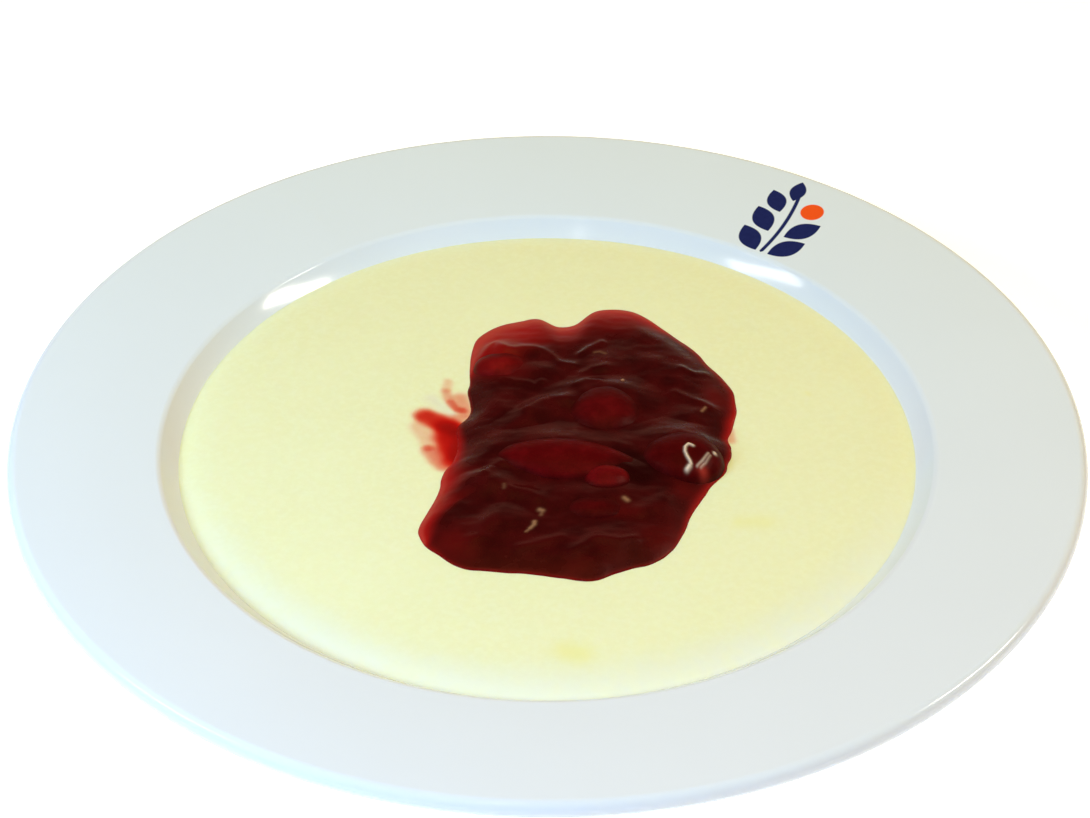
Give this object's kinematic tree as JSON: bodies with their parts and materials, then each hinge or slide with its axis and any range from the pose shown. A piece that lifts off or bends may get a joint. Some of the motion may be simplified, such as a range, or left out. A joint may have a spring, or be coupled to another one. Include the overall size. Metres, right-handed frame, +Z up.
{
  "type": "semolina pudding",
  "caption": "Plated dessert: pale semolina pudding filling the well of a white rimmed soup plate, topped with a pool of dark red fruit sauce with whole fruit.",
  "frame": {"origin": "on the table, at the centre of the plate's foot ring", "axes": "+Z up, +X the diner's right, +Y away from the diner"},
  "size_m": [0.24, 0.24, 0.0356],
  "materials": {
    "porcelain": "cool white glaze, high gloss, unglazed foot ring",
    "pudding": "cooked semolina, pale cream yellow, soft satin with a fine grain",
    "sauce": "thickened red fruit sauce, wet, dark where deep and bright red where thin",
    "fruit": "soft cooked fruit with a wet coat of sauce"
  },
  "bodies": {
    "root": {"plate": "porcelain", "pudding": "pudding", "fruit_sauce": "sauce", "fruit_middle": "fruit", "fruit_middle_tip": "fruit", "fruit_right": "fruit", "fruit_back": "fruit", "fruit_back_left": "fruit", "fruit_front": "fruit"}
  },
  "joints": []
}
